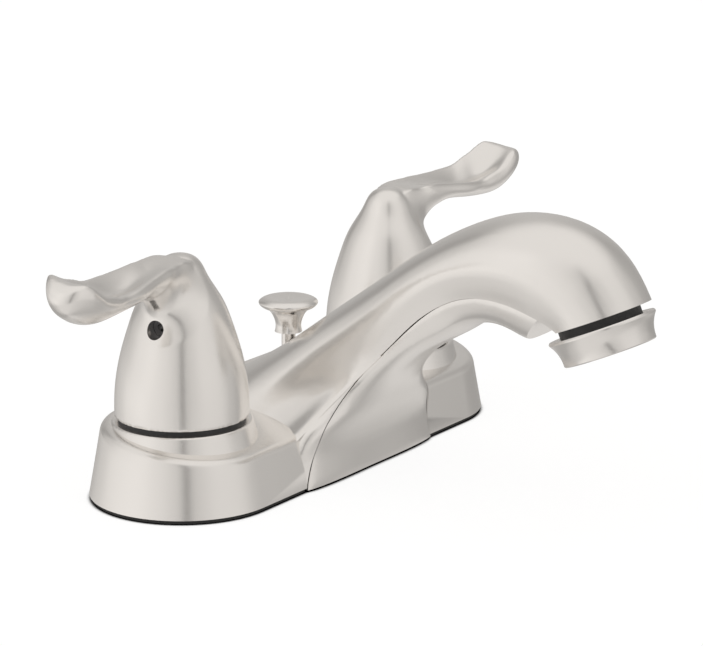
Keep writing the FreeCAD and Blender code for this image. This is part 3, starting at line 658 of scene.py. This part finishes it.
def mark_edges(mesh):
    """Shade smooth over every edge but the ones that the drill left."""
    work = bmesh.new()
    work.from_mesh(mesh)
    for edge in work.edges:
        edge.smooth = not edge.is_manifold or edge.calc_face_angle(0.0) < BORED_EDGE
    work.to_mesh(mesh)
    work.free()


print("edges over", round(math.degrees(BORED_EDGE)), "degrees stay crisp")

# %% [markdown]
# ## A left and a right handle
#
# The two handles are mirror images, hot on the left and cold on the right. Mirroring one finished
# casting would do, but each has a solid of its own on a joint of its own. So each solid goes
# through all the steps, and the casting is told which body it rides on and which finish it has.
# The solid itself isn't touched.

# %% Cast the two handles
for side, name in ((-1, "hot_handle"), (1, "cold_handle")):
    mesh = nodes[name].data.copy()
    fill_handle(side, mesh)
    cast = in_scene(nodes[name].name + "_cast", mesh)
    polish_handle(side, cast)
    bore_handle(side, cast)
    mark_edges(cast.data)
    cast.data.materials.clear()
    cast.data.materials.append(handle_nickel)
    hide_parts(name)
    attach(cast, name)
    print(name, "faces:", len(cast.data.polygons))

# %% [markdown]
# ## The floor
#
# The faucet stands on a wide white sheet, as in a product photograph. The sheet could be lit
# until it burns out to white, but then the metal would be over-lit as well. Instead the floor
# glows white where the lens looks, and a share of plain paper in it takes the soft shadow. Right
# under the edge of the base almost no light gets in, so there both fade to a dark line of painted
# shade. It is found with Ambient Occlusion, which asks how much of the sheet's near surroundings
# is open, and it darkens the paper's colour and the glow. To the metal the floor is clear, so
# that it reflects the white tent below the horizon too.

# %% Lay the sheet
FLOOR_HALF = 3.0
FLOOR_DROP = 0.0002

quarters = ((-1, -1), (1, -1), (1, 1), (-1, 1))
corners = [(x * FLOOR_HALF, y * FLOOR_HALF, 0) for x, y in quarters]
floor_mesh = bpy.data.meshes.new("floor")
floor_mesh.from_pydata(corners, [], [(0, 1, 2, 3)])
floor = in_scene("floor", floor_mesh)
floor.location.z = cad_low.z - FLOOR_DROP
print("floor half width in m:", FLOOR_HALF)

# %% Paper with painted shade where the base stands on it
TOUCH_REACH = 0.002
TOUCH_RANGE = (0.45, 0.85)
PAPER_TONE = (0.90, 0.94)
FIBRE_SCALE = 900

floor_white = bpy.data.materials.new("floor_white")
floor_white.use_nodes = True
sheet = floor_white.node_tree
sheet.nodes.clear()
touch = sheet.nodes.new("ShaderNodeAmbientOcclusion")
touch.inputs["Distance"].default_value = TOUCH_REACH
open_share = remap(sheet, touch.outputs["AO"], TOUCH_RANGE)
fibre = sheet.nodes.new("ShaderNodeTexNoise")
fibre.inputs["Scale"].default_value = FIBRE_SCALE
tone = remap(sheet, fibre.outputs["Fac"], (0.0, 1.0), PAPER_TONE)
paper = sheet.nodes.new("ShaderNodeBsdfDiffuse")
sheet.links.new(combine(sheet, "MULTIPLY", tone, open_share), paper.inputs["Color"])
print("the contact line reaches", 1000 * TOUCH_REACH, "mm")

# %% Glow for the lens, and clear for the metal
PAPER_SHARE = 0.24
FLOOR_GLOW = 1.13


def mix_shaders(tree, share, first, second):
    """Between two shaders, by share."""
    mixed = tree.nodes.new("ShaderNodeMixShader")
    for socket, value in zip(mixed.inputs, (share, first, second)):
        tree.links.new(value, socket)
    return mixed.outputs["Shader"]


glow = sheet.nodes.new("ShaderNodeEmission")
glow.inputs["Strength"].default_value = FLOOR_GLOW
clear = sheet.nodes.new("ShaderNodeBsdfTransparent")
path = sheet.nodes.new("ShaderNodeLightPath")
glow_share = combine(sheet, "MULTIPLY", path.outputs["Is Camera Ray"], 1 - PAPER_SHARE)
# The glow fades by the same occlusion: painted shade under the base's edge.
glow_share = combine(sheet, "MULTIPLY", glow_share, open_share)
seen = mix_shaders(sheet, glow_share, paper.outputs["BSDF"], glow.outputs["Emission"])
shown = mix_shaders(sheet, path.outputs["Is Glossy Ray"], seen, clear.outputs["BSDF"])
surface = sheet.nodes.new("ShaderNodeOutputMaterial")
sheet.links.new(shown, surface.inputs["Surface"])
floor_mesh.materials.append(floor_white)
print("share of the floor that takes a shadow:", PAPER_SHARE)

# %% [markdown]
# ## The studio
#
# Satin metal is lit by its surroundings more than by lamps. A photographer hangs a tent of white
# cloth round it: the side next to the window is brightest, the opposite side a little less, the
# far side grey, and where the lens looks in there is a narrow dark slit. That slit is the thin
# dark line down the middle of every upright face. Cloth and flags could be modelled, but a sky
# whose level depends only on direction gives the same reflections without noise.
#
# The levels go round the faucet as ramps of a few stops, in degrees from the far side at -180, by
# the left, to the lens at 0, and on by the right. There are three rings of them: the tent's
# cloth, the table's edge just below the horizon, and the white card that lies lower still. The
# tent's roof has one level all over.

# %% The tent's cloth
TENT_STOPS = (
    (-180, 0.54), (-160, 0.45), (-143, 0.34), (-122, 0.60), (-84, 0.84), (-55, 0.90),
    (-30, 0.80), (-8, 0.69), (0, 0.64), (2, 0.15), (7, 0.15), (9, 0.60), (16, 0.65), (45, 0.77),
    (68, 0.76), (98, 0.58), (124, 0.43), (143, 0.40), (162, 0.48), (180, 0.54))
print("stops in the cloth:", len(TENT_STOPS))

# %% The table's edge, the card below it and the roof
EDGE_STOPS = (
    (-180, 0.48), (-158, 0.50), (-128, 0.66), (-98, 0.86), (-70, 0.92), (-40, 0.82), (-8, 0.69),
    (0, 0.64), (2, 0.15), (7, 0.15), (9, 0.60), (16, 0.65), (45, 0.75), (72, 0.73), (98, 0.53),
    (124, 0.38), (148, 0.38), (180, 0.48))
CARD_STOPS = (
    (-180, 0.62), (-150, 0.44), (-126, 0.42), (-90, 0.58), (-50, 0.76), (0, 0.74), (50, 0.64),
    (105, 0.46), (130, 0.58), (152, 0.74), (180, 0.62))
ROOF_LEVEL = 0.82
TENT_COLOUR = (1.0, 0.973, 0.945)
print("stops below the horizon:", len(EDGE_STOPS), "and", len(CARD_STOPS))

# %% [markdown]
# ## Which way a ray goes
#
# A sky texture is asked for its colour in a direction. Two numbers say which: how high it points,
# and how far round. The first is the direction's height itself. The second is worked out from
# the other two axes, after a turn that puts the lens at the middle of the ramp. Its angle runs
# from minus to plus half a turn, and the ramp from 0 to 1, so one sum carries it over. An
# environment picture could hold the same levels, but a few stops are easier to change.

# %% Height and angle of a ray
CAMERA_TURN = math.radians(55.668)

world = bpy.data.worlds.new("tent")
bpy.context.scene.world = world
world.use_nodes = True
sky = world.node_tree
sky.nodes.clear()

look = sky.nodes.new("ShaderNodeTexCoord")
turn = sky.nodes.new("ShaderNodeVectorRotate")
turn.rotation_type = "Z_AXIS"
turn.inputs["Angle"].default_value = CAMERA_TURN
sky.links.new(look.outputs["Generated"], turn.inputs["Vector"])
axes = sky.nodes.new("ShaderNodeSeparateXYZ")
sky.links.new(turn.outputs["Vector"], axes.inputs["Vector"])
height = axes.outputs["Z"]
towards = combine(sky, "MULTIPLY", axes.outputs["Y"], -1)
around = combine(sky, "ARCTAN2", axes.outputs["X"], towards)
around = combine(sky, "MULTIPLY_ADD", around, 0.5 / math.pi, 0.5)
print("the lens looks in at", round(math.degrees(CAMERA_TURN)), "degrees round from the front")

# %% [markdown]
# ## Rings of levels
#
# Each ring is one colour ramp, bent round the faucet. Its stops ease into each other, as cloth
# goes from light to shade, and only the slit for the lens has steep sides. Rings are stacked by
# height with soft ends too. A hard line between two of them would show in the metal as a scratch
# that follows no edge.

# %% A ring and a fade
NEW_STOP = 0.999


def sky_ring(angles_and_levels):
    """Levels round the faucet, eased from stop to stop."""
    ring = sky.nodes.new("ShaderNodeValToRGB")
    ring.color_ramp.interpolation = "EASE"
    stops = ring.color_ramp.elements
    for index, (angle, level) in enumerate(angles_and_levels):
        stop = stops[index] if index < 2 else stops.new(NEW_STOP)
        stop.position = (angle + 180) / 360
        stop.color = (level, level, level, 1)
    sky.links.new(around, ring.inputs["Fac"])
    return ring.outputs["Color"]


def fade(from_range, first, second):
    """From one level to another as the ray's height goes through a range."""
    share = remap(sky, height, from_range, eased=True)
    difference = combine(sky, "SUBTRACT", second, first)
    return combine(sky, "MULTIPLY_ADD", difference, share, first)


print("new stops start at", NEW_STOP, "and move to their place")

# %% Stack the rings
TO_EDGE = (0.05, -0.12)
TO_ROOF = (0.56, 0.88)
TO_CARD = (-0.30, -0.46)

level = fade(TO_EDGE, sky_ring(TENT_STOPS), sky_ring(EDGE_STOPS))
level = fade(TO_ROOF, level, ROOF_LEVEL)
level = fade(TO_CARD, level, sky_ring(CARD_STOPS))
print("roof level:", ROOF_LEVEL)

# %% [markdown]
# ## White for the lens
#
# The lens has to see a clean white behind the faucet, while the metal sees the tent, whose cloth
# gives its light a slightly warm cast. One sky can't be both, and a white board behind the faucet
# would show in the metal. So the sky asks what kind of ray has come: a ray from the lens gets
# plain white, and every other one gets the tent.

# %% Light the world
path = sky.nodes.new("ShaderNodeLightPath")
from_lens = path.outputs["Is Camera Ray"]
warm = sky.nodes.new("ShaderNodeMix")
warm.data_type = "RGBA"
warm.inputs["A"].default_value = (*TENT_COLOUR, 1)
warm.inputs["B"].default_value = (1, 1, 1, 1)
sky.links.new(from_lens, warm.inputs["Factor"])
tent = sky.nodes.new("ShaderNodeBackground")
sky.links.new(next(s for s in warm.outputs if s.type == "RGBA"), tent.inputs["Color"])
sky.links.new(combine(sky, "MAXIMUM", level, from_lens), tent.inputs["Strength"])
out = sky.nodes.new("ShaderNodeOutputWorld")
sky.links.new(tent.outputs["Background"], out.inputs["Surface"])
bpy.context.scene.view_settings.view_transform = "Standard"
print("tent colour:", TENT_COLOUR)

# %% [markdown]
# ## The camera
#
# The photograph was taken from the left front, a little above the handles, with a long lens.
# Guessing the place by eye would never line up, so the distance, turn and rise were worked out
# from the outlines of the base and spout. A long lens this far away keeps the uprights parallel.

# %% Place the camera
CAMERA_AIM = Vector((0.031599, 0.0, 0.030331))
CAMERA_RISE = math.radians(14.804)
CAMERA_DISTANCE = 0.892555
CAMERA_LENS = 154.74
CAMERA_NEAR = 0.05
SENSOR_WIDTH = 36.0

back = Vector((-math.sin(CAMERA_TURN) * math.cos(CAMERA_RISE),
               -math.cos(CAMERA_TURN) * math.cos(CAMERA_RISE), math.sin(CAMERA_RISE)))
lens = bpy.data.cameras.new("camera")
lens.lens = CAMERA_LENS
lens.sensor_width = SENSOR_WIDTH
lens.clip_start = CAMERA_NEAR
camera = in_scene("camera", lens)
camera.rotation_mode = "QUATERNION"
camera.location = CAMERA_AIM + back * CAMERA_DISTANCE
camera.rotation_quaternion = (-back).to_track_quat("-Z", "Y")
bpy.context.scene.camera = camera
print("camera at", [round(v, 3) for v in camera.location])
